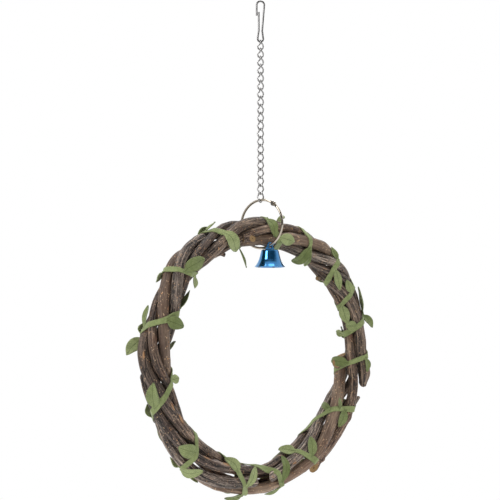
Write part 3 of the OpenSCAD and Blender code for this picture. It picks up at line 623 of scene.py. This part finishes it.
# Leaves: the ribbon's turn at the root; ring angle, turn and lift of the tip; width; turn about the midrib
LEAVES = [
    (2145, 86.6, 247, 0.8, 8.2, 0), (2465, 110, 205, 3.7, 10.4, 0), (2532, 112.2, 10, 3.8, 7, 76),
    (2342, 101.4, 180, 17.8, 7, 84), (2802, 129.3, 247, 0.8, 10.9, 0), (2725, 142.3, 205, 6.1, 7, 68),
    (2905, 149, 25, 3, 7, 72), (3075, 144.8, 205, 2.6, 7, 58), (3162, 163.5, 215, 5.9, 10.4, 0),
    (3260, 158.7, 20, 2.2, 6.5, 24), (3300, 178.3, 30, 9.4, 10.4, 4), (3385, 171, 206, 3, 7, 66),
    (2050, 75.1, 248, 0.8, 10.4, 0), (1872, 79, 350, 4, 7, 50), (1698, 65.9, 160, 5.4, 8.7, 0),
    (1685, 57.8, 165, 2.2, 4.9, 20), (1378, 53.5, 325, 1.1, 6, 10), (1340, 35.8, 220, 0.8, 7.1, 10),
    (982, 38, 273, 0.8, 7.1, 0), (692, 31, 320, 3, 7, 70), (912, 16, 199, 0.8, 9.8, 6),
    (520, 12.5, 140, 7.2, 7, 36), (605, 15.5, 190, 0.8, 9.8, 0), (690, 11.3, 320, 7.4, 8.2, 4),
    (215, -3.9, 150, 3.2, 9.3, 0), (282, -8.7, 286, 3, 7, 40), (5258, 327.4, 167, 0.8, 6.5, 20),
    (5302, 318.7, 273, 0.8, 8.2, 0), (5280, 333.1, 225, 3, 5.4, 55), (4898, 283.5, 165, 2.9, 8.7, 0),
    (4955, 302, 217, 0.8, 8.2, 0), (4620, 281.5, 194, 0.8, 6.5, 0), (4655, 270.2, 345, 1.9, 5.5, 20),
    (4255, 262.6, 214, 0.8, 6.5, 0), (3580, 188.7, 313, 0.8, 10.9, 0), (3468, 189.3, 210, 5.6, 7.6, 6),
    (3868, 218.1, 308, 0.8, 12, 0), (3962, 233.7, 298, 0.8, 8.2, 0), (4210, 243.4, 203, 0.8, 8.7, 0),
    (4310, 252.1, 0, 4.5, 7.1, 6),
]
# Leaves at the back lie flat on the canes; in place of their turn about the midrib they carry FLAT
FLAT = -1
LEAVES += [(*row, FLAT) for row in [
    (464, 14.5, 147, 1.8, 9.3), (409, -4.1, 19, 3.7, 9.1), (823, 30.5, 97, 3.5, 10.5),
    (768, 11.7, 87, 1.9, 9.3), (1178, 47.4, 113, 1.8, 9), (1132, 29.2, 93, 2.4, 8.2), (1533, 62.2, 132, 3, 8.3),
    (1504, 45.7, 80, 2.7, 8.2), (1860, 68.5, 56, 2.4, 8), (2623, 133.9, 124, 1.6, 10.2),
    (2573, 113.9, 33, 2.4, 8.5), (2985, 156.4, 105, 3.8, 10.2), (2929, 139.5, 77, 1.8, 8.7),
    (3343, 185.4, 79, 1.8, 9.9), (3295, 165.4, 56, 1.8, 9.6), (3693, 217.3, 56, 3, 8.6),
    (3652, 199.3, 64, 2.9, 9.4), (4040, 241.4, 41, 2.6, 8.9), (4001, 223.8, 40, 2.7, 9.3),
    (4424, 267.9, 68, 1.9, 9.6), (4367, 251.7, 48, 2.4, 9.7), (4763, 289.4, 64, 2.6, 10.2),
    (4741, 273.4, 73, 1.4, 8.4), (5132, 311.8, 80, 2.9, 10), (5088, 292.8, 56, 2.7, 9.4),
]]


# Degrees between the ribbon's points along its turn, its lift off the skin in mm; points across the
# ribbon and a leaf, and along a leaf
RIBBON_STEP, RIBBON_LIFT, RIBBON_ACROSS, LEAF_ACROSS, LEAF_ALONG = 2.5, 0.5, 9, 15, 27
# Turn about the midrib from which a leaf stands on its edge. Leaves turned by less than FACING and lifted
# by less than LOW mm follow the canes in part; the others face the front
ON_EDGE, FACING, LOW = 40, 30, 8


def steady(x, y, at):
    """A curve through the points that never turns back (monotone cubic)."""
    x, y = np.asarray(x, float), np.asarray(y, float)
    h, d = np.diff(x), np.diff(y) / np.diff(x)
    m = np.zeros_like(y)
    w1, w2 = 2 * h[1:] + h[:-1], h[1:] + 2 * h[:-1]
    rising = d[:-1] * d[1:] > 0
    safe = np.where(rising, d[:-1] * d[1:], 1)
    m[1:-1] = np.where(rising, (w1 + w2) * safe / np.where(rising, w1 * d[1:] + w2 * d[:-1], 1), 0)
    m[0], m[-1] = d[0], d[-1]
    i = np.clip(np.searchsorted(x, at) - 1, 0, len(x) - 2)
    t = (at - x[i]) / h[i]
    return ((2 * t ** 3 - 3 * t ** 2 + 1) * y[i] + (t ** 3 - 2 * t ** 2 + t) * h[i] * m[i]
            + (3 * t ** 2 - 2 * t ** 3) * y[i + 1] + (t ** 3 - t ** 2) * h[i] * m[i + 1])


def felt_patch(grid, thickness, first):
    """A closed piece of felt from a grid of points on its middle: points and faces, from `first`."""
    du, dv = np.gradient(grid, axis=0), np.gradient(grid, axis=1)
    face = unit(np.cross(du, dv))
    top, low = (grid + face * thickness / 2).reshape(-1, 3), (grid - face * thickness / 2).reshape(-1, 3)
    size = len(top)
    ids = np.arange(first, first + size).reshape(grid.shape[:2])
    edge = np.concatenate([ids[0], ids[1:, -1], ids[-1, -2::-1], ids[-2:0:-1, 0]])
    ahead = np.roll(edge, -1)
    walls = np.stack([edge, ahead, ahead + size, edge + size], -1)
    return np.vstack([top, low]), np.vstack([quads(ids), quads(ids)[:, ::-1] + size, walls])


def grid_area(grid):
    """Area of one layer of a grid of points."""
    a, b = grid[1:, 1:] - grid[:-1, :-1], grid[1:, :-1] - grid[:-1, 1:]
    return 0.5 * np.linalg.norm(np.cross(a, b), axis=-1).sum()


def ribbon_middle():
    """Ring angles, turns and points of the ribbon's middle line."""
    angles, turns = np.array(RIBBON, float).T
    turn = np.arange(turns[0], turns[-1] + 1, RIBBON_STEP)
    weight = np.exp(-0.5 * (np.arange(-16, 17) / 5.0) ** 2)
    a = np.convolve(np.pad(steady(turns, angles, turn), 16, mode="edge"), weight / weight.sum(), "valid")
    return a, turn, BUNDLE.point(a, turn, RIBBON_LIFT)


def blade_marks(x, length):
    """Place of each point across and along its strip of felt, for the veins."""
    return np.stack([x, np.repeat(length[:, None], x.shape[1], 1), 0 * x], -1)


def leaf_grid(row, ribbon, rng, thickness):
    """Points on the middle of one leaf: a narrow stalk on the ribbon, then a pointed oval."""
    at, tip_angle, tip_turn, lift, width, roll = row
    on_edge = roll >= ON_EDGE
    start = np.interp(at, ribbon[1], ribbon[0])
    turn = at - 360 * round((at - tip_turn) / 360)
    t = np.linspace(0, 1, LEAF_ALONG)
    bow = 0.2 if on_edge else rng.uniform(0.4, 1.3)
    line = BUNDLE.point(start + (tip_angle - start) * t, turn + (tip_turn - turn) * t,
                        RIBBON_LIFT + lift * t ** 1.15 + bow * np.sin(np.pi * t) ** 2)
    length, run = lengths(line), unit(np.gradient(line, axis=0))
    away = BUNDLE.away(line)[0]
    lies = roll < FACING and lift < LOW
    front = away if roll == FLAT else unit(away * (0.75 if lies else 0.0) + VIEW)
    side = unit(np.cross(run, front))
    face = np.cross(side, run)
    c, d = cosd(max(roll, 0)), sind(max(roll, 0))
    side, face = side * c + face * d, face * c - side * d
    u = np.clip((t - 0.08) / 0.92, 0, 1)
    blade = width / 2 * np.sin(np.pi * u ** rng.uniform(0.72, 0.88)) ** rng.uniform(0.62, 0.80)
    half_width = np.maximum(blade, 1.5 * (1 - ease(t * 2.6)) + 0.12)
    share = np.linspace(-1, 1, LEAF_ACROSS)
    x = half_width[:, None] * share
    if on_edge:
        line = line + side * (half_width * 0.45)[:, None] * np.sign((side * away).sum(-1, keepdims=True))
    cup, twist = rng.uniform(0.05, 0.16), rng.uniform(-0.10, 0.10)
    u, t = u[:, None], t[:, None]
    wave = 0.35 * np.sin(length[:, None] * rng.uniform(0.30, 0.5) + rng.uniform(0, 6)) * share * u
    rise = cup * width * (share ** 2) * np.sin(np.pi * u) + twist * x * t + wave
    rise = rise - 0.16 * np.exp(-(x / 0.28) ** 2) * u
    grid = line[:, None] + side[:, None] * x[..., None] + face[:, None] * rise[..., None]
    return BUNDLE.keep_out(grid, thickness * 0.5 + 0.2), blade_marks(x, length)


def build_garland(width, thickness, seed, material):
    """Ribbon and leaves as one piece of felt; gives the piece, its cloth's area and the ribbon's length."""
    a, turn, line = ribbon_middle()
    rng = np.random.default_rng(seed)
    run, length = unit(np.gradient(line, axis=0)), lengths(line)
    side = np.cross(run, square_to(BUNDLE.away(line)[0], run))
    wide = width / 2 * (1 + 0.16 * np.sin(length / 9.0) + 0.10 * np.sin(length / 3.7 + 1))
    wide = wide * np.clip(0.35 + np.minimum(length, length[-1] - length) / 5, 0, 1)
    x = wide[:, None] * np.linspace(-1, 1, RIBBON_ACROSS)
    grid = BUNDLE.keep_out(line[:, None] + side[:, None] * x[..., None], thickness * 0.5 + 0.12)
    # grid, marks, 1 for a leaf, tint
    strips = [(grid, blade_marks(x, length), 0.0, 0.35)]
    strips += [(*leaf_grid(row, (a, turn), rng, thickness), 1.0, rng.uniform(0.0, 0.9)) for row in LEAVES]
    sizes = [2 * grid[..., 0].size for grid, _, _, _ in strips]
    patches = [felt_patch(strip[0], thickness, start) for strip, start in zip(strips, np.cumsum([0] + sizes))]
    points, faces = (np.vstack(part) for part in zip(*patches))
    blade = np.vstack([marks.reshape(-1, 3) for _, marks, _, _ in strips for _ in range(2)])
    leaf, tint = (np.repeat([strip[k] for strip in strips], sizes) for k in (2, 3))
    piece = make_piece("felt_garland", points, faces.tolist(), [material], blade=blade, leaf=leaf, tint=tint)
    return piece, sum(grid_area(strip[0]) for strip in strips), float(length[-1])


# ---- settings

def amount(name, description, default, low, high, **more):
    """A number that a user may change."""
    return FloatProperty(name=name, description=description, default=default, min=low, max=high, **more)


def paint(name, description, *default):
    """A colour that a user may change, given as it is read off a screen."""
    return FloatVectorProperty(name=name, description=description, default=rgb(*default), min=0, max=1,
                               subtype="COLOR")


class SwingChainSettings(bpy.types.PropertyGroup):
    """Sizes of the curb chain's links."""
    wire: amount("Wire", "Diameter of the links' wire", 0.00135, 0.0008, 0.0016, unit="LENGTH", precision=5)
    half_length: amount("Half Length", "From a link's middle to the middle of its end bend",
                        0.004235, 0.003, 0.006, unit="LENGTH", precision=6)
    half_width: amount("Half Width", "From a link's middle to the middle of its side wire",
                       0.002525, 0.002, 0.004, unit="LENGTH", precision=6)
    twist: amount("Twist", "Turn between a link's two ends", math.radians(90), 0, math.pi, subtype="ANGLE")
    steel: paint("Steel", "Colour of the chain and the hook", 164, 163, 162)


class SwingCaneSettings(bpy.types.PropertyGroup):
    """Bark of the canes."""
    depth: amount("Bark Depth", "Height of the bark's strands, in millimetres", 0.85, 0.0, 1.5)
    dark: paint("Dark Bark", "Colour in the bark's hollows", 38, 30, 28)
    pale: paint("Pale Bark", "Colour of the bark's weathered strands", 150, 128, 109)


class SwingGarlandSettings(bpy.types.PropertyGroup):
    """Felt garland."""
    ribbon: amount("Ribbon", "Width of the ribbon, in millimetres", 4.6, 2.4, 7.0)
    felt: amount("Felt", "Thickness of the felt, in millimetres", 0.7, 0.4, 1.4)
    green: paint("Green", "Colour of the felt", 120, 132, 80)
    seed: IntProperty(name="Seed", description="Chooses the small differences between leaves", default=11, min=0)


class SwingMetalSettings(bpy.types.PropertyGroup):
    """Loose-leaf ring and bell."""
    nickel: paint("Nickel", "Colour of the loose-leaf ring", 190, 180, 166)
    blue: paint("Bell Blue", "Colour of the bell's lacquer", 0, 116, 178)


class SwingStageSettings(bpy.types.PropertyGroup):
    """Light and floor."""
    lamp: amount("Lamp", "Strength of the main lamp, in watts", 13.0, 0.0, 1000.0)
    sky: amount("Sky", "Strength of the light from all round", 0.40, 0.0, 10.0)
    floor_z: amount("Floor", "Height of the floor", -0.62, -5.0, 5.0, unit="LENGTH")


def carry(name, material):
    """Gives a node of the frame its material."""
    node = NODES[name]
    node.data.materials.clear()
    node.data.materials.append(material)


def stand_for(piece, body, name):
    """Lets a piece move with its body and take the place of a node of the frame."""
    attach(piece, body)
    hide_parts(name)


# ---- operators

class SWING_OT_hook(bpy.types.Operator):
    """Finishes the spring-wire hook and its sprung leg"""
    bl_idname = "swing.hook"
    bl_label = "Hook"

    def execute(self, context):
        steel = metal_material("bright_spring_wire", scaled(context.scene.swing_chain.steel, 0.55), 0.2,
                               (1, 1, 0.02), wear=0.08)
        for name in ("hook_body", "hook_gate"):
            carry(name, steel)
        return {"FINISHED"}


# Turn about the chain's line of the first link, and of each link from the one above, in degrees
FIRST_LINK_TURN, LINK_TURN_STEP = -81, 3
LINK_INPUTS = ("Wire", "Half Length", "Half Width", "Twist", "Height", "Turn", "Steel")
# Points along a link's line and round its wire
LINK_POINTS, WIRE_SIDES = 108, 20


class SWING_OT_chain(bpy.types.Operator):
    """Makes the twisted links of the curb chain with Geometry Nodes, one for each body"""
    bl_idname = "swing.chain"
    bl_label = "Curb Chain"

    def execute(self, context):
        sizes = context.scene.swing_chain
        steel = metal_material("bright_link_wire", sizes.steel, 0.14)
        tree, sockets = link_tree()
        made = []
        for index, name in enumerate(sorted(n for n in NODES if n.startswith("chain_link_"))):
            low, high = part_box(name)
            link = new_object("wire_" + name, bpy.data.meshes.new("wire_" + name))
            modifier = link.modifiers.new("Curb Link", "NODES")
            modifier.node_group = tree
            turn = math.radians(FIRST_LINK_TURN + LINK_TURN_STEP * index)
            for socket, value in zip(sockets, (sizes.wire, sizes.half_length, sizes.half_width, sizes.twist,
                                               (low.z + high.z) / 2, turn, steel)):
                modifier[socket] = value
            made.append((link, name))
        graph = context.evaluated_depsgraph_get()
        for link, name in made:
            mesh = bpy.data.meshes.new_from_object(link.evaluated_get(graph), preserve_all_data_layers=True,
                                                   depsgraph=graph)
            link.modifiers.clear()
            link.data = mesh
            mesh.name = link.name
            stand_for(link, name.replace("chain_", ""), name)
        return {"FINISHED"}


def link_tree():
    """Node tree of one twisted link; gives the tree and the identifiers of LINK_INPUTS."""
    tree = bpy.data.node_groups.new("curb_link", "GeometryNodeTree")
    tree.is_modifier = True
    sockets = [tree.interface.new_socket(name, in_out="INPUT", socket_type="NodeSocketMaterial" if name == "Steel"
                                         else "NodeSocketFloat").identifier for name in LINK_INPUTS]
    tree.interface.new_socket("Geometry", in_out="OUTPUT", socket_type="NodeSocketGeometry")
    b = Bench(tree)
    given = tree.nodes.new("NodeGroupInput")
    wire, length, width, twist, height, turn, steel = (Value(b, given.outputs[name]) for name in LINK_INPUTS)
    ring, profile = (
        b.node("GeometryNodeCurvePrimitiveCircle", {"Resolution": points, "Radius": radius}, mode="RADIUS")
        for points, radius in ((LINK_POINTS, 0.002), (WIRE_SIDES, wire * 0.5)))
    angle = b.node("GeometryNodeSplineParameter") * (2 * math.pi)
    across, rise = b.sum("COSINE", angle), b.sum("SINE", angle)
    # the long sides are nearly straight: a soft limit on the sine
    steep = rise * 1.6
    straight = steep / (1 + steep ** 6) ** (1 / 6)
    z = (length - width) * straight + width * rise
    lean = b.node("ShaderNodeClamp", {"Value": z / (length * 0.6), "Min": -1.0, "Max": 1.0})
    face = b.sum("SINE", lean * (math.pi / 2)) * twist * -0.5 + turn
    reach = width * across
    place = b.node("ShaderNodeCombineXYZ", {
        0: reach * b.sum("COSINE", face), 1: reach * b.sum("SINE", face), 2: z + height})
    bent = b.node("GeometryNodeSetPosition", {"Geometry": ring, "Position": place})
    body = b.node("GeometryNodeCurveToMesh", {"Curve": bent, "Profile Curve": profile, "Fill Caps": False})
    smooth = b.node("GeometryNodeSetShadeSmooth", {"Geometry": body, "Shade Smooth": True})
    done = b.node("GeometryNodeSetMaterial", {"Geometry": smooth, "Material": steel})
    b.close("NodeGroupOutput", done)
    return tree, sockets


class SWING_OT_loose_leaf_ring(bpy.types.Operator):
    """Finishes the two half rings and their hinge pin"""
    bl_idname = "swing.loose_leaf_ring"
    bl_label = "Loose-leaf Ring"

    def execute(self, context):
        nickel = metal_material("plated_ring", context.scene.swing_metal.nickel, 0.13)
        for name in ("ring_half_upper", "ring_half_lower", "ring_hinge_pin"):
            carry(name, nickel)
        return {"FINISHED"}


# Bow of the bell, in mm: half thickness and rounding of its tin, level of its bend's middle, its foot's
# place under the top of the solid, and its turn in degrees; then radius, half foot and level of the
# foot for its outer and its inner outline
TIN_HALF, TIN_ROUND, BEND_LEVEL, BOW_DROP, BOW_TURN = 0.28, 0.22, 0.4, 3.15, 3
BOW_OUTLINES = ((2.75, 5.1, -3.5), (1.62, 1.9, -1.9))


def build_bow(material):
    """The bell's bow: stamped and rolled at its edges, on a foot that lies on the crown."""
    low, high = (Vector(v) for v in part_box("bell_hanger"))
    curve = bpy.data.curves.new("tin_bow", "CURVE")
    curve.dimensions, curve.fill_mode = "2D", "BOTH"
    curve.extrude, curve.bevel_depth, curve.bevel_resolution, curve.offset = TIN_HALF, TIN_ROUND, 3, -TIN_ROUND
    for radius, foot, level in BOW_OUTLINES:
        outline = [(radius * cosd(a), BEND_LEVEL + radius * sind(a)) for a in range(0, 181, 10)]
        outline += [(-foot, level), (foot, level)]
        line = curve.splines.new("POLY")
        line.points.add(len(outline) - 1)
        for point, (x, z) in zip(line.points, outline):
            point.co = (x, z, 0, 1)
        line.use_cyclic_u = True
    holder = new_object("bow_outline", curve)
    mesh = bpy.data.meshes.new_from_object(holder.evaluated_get(bpy.context.evaluated_depsgraph_get()))
    bpy.data.objects.remove(holder)
    x, z, y = np.array([v.co for v in mesh.vertices]).T
    faces = [list(face.vertices) for face in mesh.polygons]
    middle, c, d = (low + high) / 2 / MM, cosd(BOW_TURN), sind(BOW_TURN)
    points = np.stack([x * c + y * d + middle.x, x * d - y * c + middle.y, z + high.z / MM - BOW_DROP], -1)
    return make_piece("tin_bow", points, faces, [material])


class SWING_OT_bell(bpy.types.Operator):
    """Finishes the blue bell, its bow, its staple and its clapper"""
    bl_idname = "swing.bell"
    bl_label = "Bell"

    def execute(self, context):
        coat = {"Specular Tint": rgb(150, 226, 255), "Coat Weight": 1.0, "Coat Roughness": 0.04, "Coat IOR": 1.6}
        blue = metal_material("blue_lacquer", context.scene.swing_metal.blue, 0.07, wear=0.18, metallic=0.9,
                              **coat)
        steel = metal_material("dull_steel", rgb(150, 148, 145), 0.3)
        carry("bell_shell", blue)
        stand_for(build_bow(blue), "bell", "bell_hanger")
        for name in ("clapper_staple", "bell_clapper"):
            carry(name, steel)
        return {"FINISHED"}


class SWING_OT_canes(bpy.types.Operator):
    """Makes the five canes with their bark, knots and cut ends"""
    bl_idname = "swing.canes"
    bl_label = "Canes"

    def execute(self, context):
        bark = context.scene.swing_canes
        cut = cut_wood_material()
        dark, pale = Vector(bark.dark), Vector(bark.pale)
        # dark, middle and pale bark, then how strongly fibres, pores and reddish patches show
        tones = {
            "cane_brown": (rgb(84, 66, 54), rgb(116, 94, 77), rgb(162, 140, 116), 0.34, 0.8, 0.22),
            "cane_thin": (rgb(50, 38, 33), rgb(88, 68, 57), rgb(150, 126, 104), 1.0, 0.6, 0.40),
            "cane_forked": (dark, dark.lerp(pale, 0.34), pale, 1.0, 0.5, 0.25),
            "cane_dark": (rgb(36, 29, 26), rgb(66, 53, 47), rgb(136, 117, 102), 1.0, 0.6, 0.25),
            "cane_grey": (rgb(46, 38, 35), rgb(86, 73, 66), rgb(168, 152, 136), 1.1, 0.45, 0.12),
        }
        for name in CANES:
            material = bark_material(name.replace("cane", "bark"), *tones[name])
            cane = build_cane(name, bark.depth * (0.7 if name == "cane_brown" else 1.0), [material, cut])
            stand_for(cane, "wreath", name)
        return {"FINISHED"}


class SWING_OT_garland(bpy.types.Operator):
    """Makes the felt ribbon wound round the canes, with its leaves"""
    bl_idname = "swing.garland"
    bl_label = "Leaf Garland"

    def execute(self, context):
        felt = context.scene.swing_garland
        material = felt_material(felt.green, rgb(178, 188, 134), rgb(72, 86, 44))
        piece, area, length = build_garland(felt.ribbon, felt.felt, felt.seed, material)
        stand_for(piece, "wreath", "leaf_garland")
        round(length * MM, 3)
        area * MM * MM
        return {"FINISHED"}


# Lamps: name, place, size in metres and share of the main lamp's strength; all look at LAMP_AIM
LAMPS = (
    ("key", (-1.38, -0.15, 0.55), 0.7, 1.0), ("fill", (0.40, -1.30, 0.25), 0.9, 0.42),
    ("top", (0.15, 0.10, 0.95), 0.9, 0.5), ("rim", (0.9, 0.9, 0.35), 0.8, 0.4),
)
LAMP_AIM = (0, 0, -0.28)
# Camera: distance and height in metres, lens in mm and shift
CAMERA_AWAY, CAMERA_Z, LENS, SHIFT = 0.8326, -0.2732, 68.76, (-0.021, 0.131)
FLOOR_HALF = 12
WHITE = (1, 1, 1)


def rays(b, *names):
    """1 for rays of any of these kinds."""
    outputs = b.node("ShaderNodeLightPath").socket.node.outputs
    both, *others = (Value(b, outputs[f"Is {name} Ray"]) for name in names)
    for other in others:
        both = b.sum("MAXIMUM", both, other)
    return both


def set_camera(scene):
    camera = new_object("camera", bpy.data.cameras.new("camera"))
    lens = camera.data
    lens.sensor_width, lens.lens = 36.0, LENS
    lens.shift_x, lens.shift_y = SHIFT
    lens.clip_start, lens.clip_end = 0.01, 60.0
    camera.location = VIEW * CAMERA_AWAY + (0, 0, CAMERA_Z)
    camera.rotation_euler = (math.pi / 2, 0.0, VIEW_TURN)
    scene.camera = camera
    scene.view_settings.view_transform = "Standard"


def surroundings(strength):
    """White to the camera, a soft sky to the pieces, and a studio of white walls and dark openings to metal."""
    world = bpy.data.worlds.new("surroundings")
    world.use_nodes = True
    b = Bench(world.node_tree)
    x, y, z = b.split(b.node("ShaderNodeTexCoord"))
    toward = x * VIEW[0] + y * VIEW[1]
    walls = b.between(b.sum("SINE", b.sum("ARCTAN2", y, x) * 5.0 + 0.6), 0.1, 0.8)
    front = b.between(toward, -0.15, 0.5)
    level = b.between(abs(z), 0.95, 0.70)
    studio = 1.0 - front * level * 0.92 + walls * level * front * 0.08
    white = b.node("ShaderNodeBackground", {
        "Color": WHITE, "Strength": 1 - rays(b, "Glossy") * (1 - studio)})
    sky = b.node("ShaderNodeBackground", {
        "Color": (0.97, 0.985, 1.0), "Strength": b.between(toward, -0.6, 0.6, 2.6, 0.3) * strength})
    both = b.node("ShaderNodeMixShader", {0: rays(b, "Camera", "Glossy", "Transmission"), 1: sky, 2: white})
    b.close("ShaderNodeOutputWorld", both)
    return world


def floor_material():
    """Pale floor that fades into the white surroundings away from the swing."""
    material, b = new_material("pale_floor")
    x, y, _ = b.split(b.place())
    far = b.between((x * x + y * y) ** 0.5, 0.3, 0.85)
    plain = b.node("ShaderNodeBsdfPrincipled", {
        "Base Color": (0.9, 0.9, 0.9), "Roughness": 0.8, "Specular IOR Level": 0.1})
    glow = b.node("ShaderNodeEmission", {"Color": WHITE, "Strength": 1.0})
    both = b.node("ShaderNodeMixShader", {
        0: rays(b, "Camera", "Glossy", "Transmission") * far, 1: plain, 2: glow})
    b.close("ShaderNodeOutputMaterial", both)
    return material


class SWING_OT_stage(bpy.types.Operator):
    """Sets the camera, the lamps, the white surroundings and the pale floor"""
    bl_idname = "swing.stage"
    bl_label = "Camera, Light and Floor"

    def execute(self, context):
        scene, stage = context.scene, context.scene.swing_stage
        set_camera(scene)
        for name, place, size, share in LAMPS:
            lamp = bpy.data.lights.new(name, "AREA")
            lamp.energy, lamp.size = stage.lamp * share, size
            holder = new_object(name, lamp)
            holder.location = place
            holder.visible_glossy = name != "fill"
            holder.rotation_euler = (Vector(LAMP_AIM) - Vector(place)).to_track_quat("-Z", "Y").to_euler()
        scene.world = surroundings(stage.sky)
        mesh = bpy.data.meshes.new("floor")
        low, high, level = -FLOOR_HALF, FLOOR_HALF, stage.floor_z
        corners = [(low, low, level), (high, low, level), (high, high, level), (low, high, level)]
        mesh.from_pydata(corners, [], [range(4)])
        mesh.materials.append(floor_material())
        floor = new_object("floor", mesh)
        return {"FINISHED"}


class SWING_PT_panel(bpy.types.Panel):
    """Lists the swing's pieces and their settings"""
    bl_label = "Bird Swing"
    bl_idname = "SWING_PT_panel"
    bl_space_type = "VIEW_3D"
    bl_region_type = "UI"
    bl_category = "Bird Swing"

    def draw(self, context):
        layout = self.layout
        for name, (settings, *operators) in GROUPS.items():
            column = layout.column(align=True)
            for operator in operators:
                column.operator(operator.bl_idname)
            for key in settings.__annotations__:
                column.prop(getattr(context.scene, name), key)


# The settings of each group in the scene, and the operators that read them
GROUPS = {
    "swing_stage": (SwingStageSettings, SWING_OT_stage),
    "swing_chain": (SwingChainSettings, SWING_OT_hook, SWING_OT_chain),
    "swing_metal": (SwingMetalSettings, SWING_OT_loose_leaf_ring, SWING_OT_bell),
    "swing_canes": (SwingCaneSettings, SWING_OT_canes),
    "swing_garland": (SwingGarlandSettings, SWING_OT_garland),
}
CLASSES = (*(one for group in GROUPS.values() for one in group), SWING_PT_panel)


def register():
    for one in CLASSES:
        bpy.utils.register_class(one)
    for name, (settings, *_) in GROUPS.items():
        setattr(bpy.types.Scene, name, PointerProperty(type=settings))


def unregister():
    for name in GROUPS:
        delattr(bpy.types.Scene, name)
    for one in reversed(CLASSES):
        bpy.utils.unregister_class(one)


def main():
    register()
    bpy.ops.swing.stage()
    bpy.ops.swing.hook()
    bpy.ops.swing.chain()
    bpy.ops.swing.loose_leaf_ring()
    bpy.ops.swing.bell()
    bpy.ops.swing.canes()
    bpy.ops.swing.garland()


if __name__ == "__main__":
    main()
